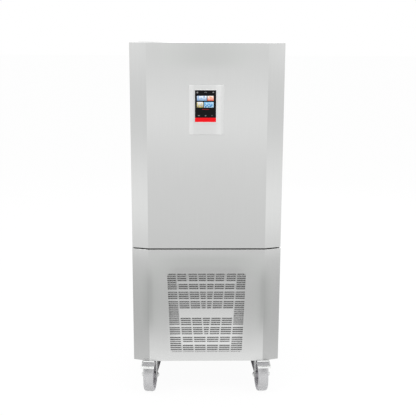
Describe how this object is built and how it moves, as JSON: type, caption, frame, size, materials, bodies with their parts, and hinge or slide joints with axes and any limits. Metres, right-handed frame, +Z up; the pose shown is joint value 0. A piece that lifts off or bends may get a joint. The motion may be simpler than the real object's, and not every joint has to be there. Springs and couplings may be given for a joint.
{
  "type": "blast chiller",
  "caption": "Upright stainless reach-in blast chiller on swivel castors, with a bevelled insulated door, touch display, tray racks and a refrigeration unit behind a slotted grille.",
  "frame": {"origin": "on the floor under the middle of the footprint, castor wheels and cable gland included", "axes": "+X to the right of someone facing the door, +Y to the rear, +Z up"},
  "size_m": [0.7, 0.8199, 1.68],
  "materials": {
    "brushed_steel": "satin",
    "bright_steel": "gloss",
    "galvanised_steel": "satin",
    "foam": "matte",
    "gasket_rubber": "matte",
    "display_plastic": "satin",
    "display_glass": "gloss",
    "tyre": "matte",
    "rim_plastic": "satin",
    "fan_plastic": "satin",
    "aluminium": "satin",
    "copper": "satin",
    "black_paint": "satin",
    "box_paint": "satin"
  },
  "bodies": {
    "cabinet": {"side_panel_left": "brushed_steel", "side_panel_right": "brushed_steel", "top_panel": "brushed_steel", "back_panel": "galvanised_steel", "rear_vent_panel": "galvanised_steel", "chamber_liner": "brushed_steel", "cabinet_foam": "foam", "door_frame": "brushed_steel", "chamber_base_panel": "galvanised_steel", "rack_left": "bright_steel", "rack_right": "bright_steel", "fan_shroud": "brushed_steel", "evaporator_motor_lower": "galvanised_steel", "evaporator_motor_upper": "galvanised_steel", "evaporator_coil": "aluminium", "hinge_bracket_lower": "bright_steel", "hinge_bracket_upper": "bright_steel", "front_grille_panel": "brushed_steel", "chassis_base": "galvanised_steel", "condenser_coil": "aluminium", "condenser_shroud": "galvanised_steel", "condenser_fan_motor": "black_paint", "compressor": "black_paint", "liquid_receiver": "black_paint", "control_box": "box_paint", "cable_gland": "fan_plastic", "suction_pipe": "copper", "discharge_pipe": "copper", "castor_plate_front_left": "bright_steel", "castor_plate_front_right": "bright_steel", "castor_plate_rear_left": "bright_steel", "castor_plate_rear_right": "bright_steel"},
    "door": {"door_skin": "brushed_steel", "door_foam": "foam", "door_liner": "brushed_steel", "door_gasket": "gasket_rubber", "door_grip": "fan_plastic", "display_housing": "display_plastic", "touch_display": "display_glass"},
    "lower_fan": {"evaporator_fan_lower": "fan_plastic"},
    "upper_fan": {"evaporator_fan_upper": "fan_plastic"},
    "condenser_fan": {"condenser_fan": "fan_plastic"},
    "castor_front_left": {"castor_fork_front_left": "bright_steel", "castor_axle_front_left": "bright_steel"},
    "wheel_front_left": {"castor_tyre_front_left": "tyre", "castor_rim_front_left": "rim_plastic"},
    "pedal_front_left": {"brake_pedal_front_left": "bright_steel"},
    "castor_front_right": {"castor_fork_front_right": "bright_steel", "castor_axle_front_right": "bright_steel"},
    "wheel_front_right": {"castor_tyre_front_right": "tyre", "castor_rim_front_right": "rim_plastic"},
    "pedal_front_right": {"brake_pedal_front_right": "bright_steel"},
    "castor_rear_left": {"castor_fork_rear_left": "bright_steel", "castor_axle_rear_left": "bright_steel"},
    "wheel_rear_left": {"castor_tyre_rear_left": "tyre", "castor_rim_rear_left": "rim_plastic"},
    "castor_rear_right": {"castor_fork_rear_right": "bright_steel", "castor_axle_rear_right": "bright_steel"},
    "wheel_rear_right": {"castor_tyre_rear_right": "tyre", "castor_rim_rear_right": "rim_plastic"}
  },
  "joints": [
    {"name": "door_hinge", "type": "hinge", "parent": "cabinet", "child": "door", "pos_m": [-0.34, -0.302, 1.2], "axis": [0, 0, -1], "range_deg": [0, 110]},
    {"name": "lower_fan_spin", "type": "hinge", "parent": "cabinet", "child": "lower_fan", "pos_m": [0, 0.14, 0.99987], "axis": [0, 1, 0], "continuous": true},
    {"name": "upper_fan_spin", "type": "hinge", "parent": "cabinet", "child": "upper_fan", "pos_m": [0, 0.14, 1.41063], "axis": [0, 1, 0], "continuous": true},
    {"name": "condenser_fan_spin", "type": "hinge", "parent": "cabinet", "child": "condenser_fan", "pos_m": [0, -0.229, 0.3893], "axis": [0, 1, 0], "continuous": true},
    {"name": "swivel_front_left", "type": "hinge", "parent": "cabinet", "child": "castor_front_left", "pos_m": [-0.269, -0.274, 0.186], "axis": [0, 0, 1], "continuous": true},
    {"name": "swivel_front_right", "type": "hinge", "parent": "cabinet", "child": "castor_front_right", "pos_m": [0.269, -0.274, 0.186], "axis": [0, 0, 1], "continuous": true},
    {"name": "swivel_rear_left", "type": "hinge", "parent": "cabinet", "child": "castor_rear_left", "pos_m": [-0.269, 0.31, 0.186], "axis": [0, 0, 1], "continuous": true},
    {"name": "swivel_rear_right", "type": "hinge", "parent": "cabinet", "child": "castor_rear_right", "pos_m": [0.269, 0.31, 0.186], "axis": [0, 0, 1], "continuous": true},
    {"name": "wheel_spin_front_left", "type": "hinge", "parent": "castor_front_left", "child": "wheel_front_left", "pos_m": [-0.27266, -0.30881, 0.08], "axis": [0.9945, -0.1045, 0], "continuous": true},
    {"name": "wheel_spin_front_right", "type": "hinge", "parent": "castor_front_right", "child": "wheel_front_right", "pos_m": [0.27175, -0.30889, 0.08], "axis": [0.9969, 0.0785, 0], "continuous": true},
    {"name": "wheel_spin_rear_left", "type": "hinge", "parent": "castor_rear_left", "child": "wheel_rear_left", "pos_m": [-0.27205, 0.27513, 0.08], "axis": [0.9962, -0.0872, 0], "continuous": true},
    {"name": "wheel_spin_rear_right", "type": "hinge", "parent": "castor_rear_right", "child": "wheel_rear_right", "pos_m": [0.27387, 0.27534, 0.08], "axis": [0.9903, 0.1392, 0], "continuous": true},
    {"name": "pedal_front_left_press", "type": "hinge", "parent": "castor_front_left", "child": "pedal_front_left", "pos_m": [-0.27224, -0.30483, 0.165], "axis": [0.9945, -0.1045, 0], "range_deg": [0, 10]},
    {"name": "pedal_front_right_press", "type": "hinge", "parent": "castor_front_right", "child": "pedal_front_right", "pos_m": [0.27143, -0.3049, 0.165], "axis": [0.9969, 0.0785, 0], "range_deg": [0, 10]}
  ]
}
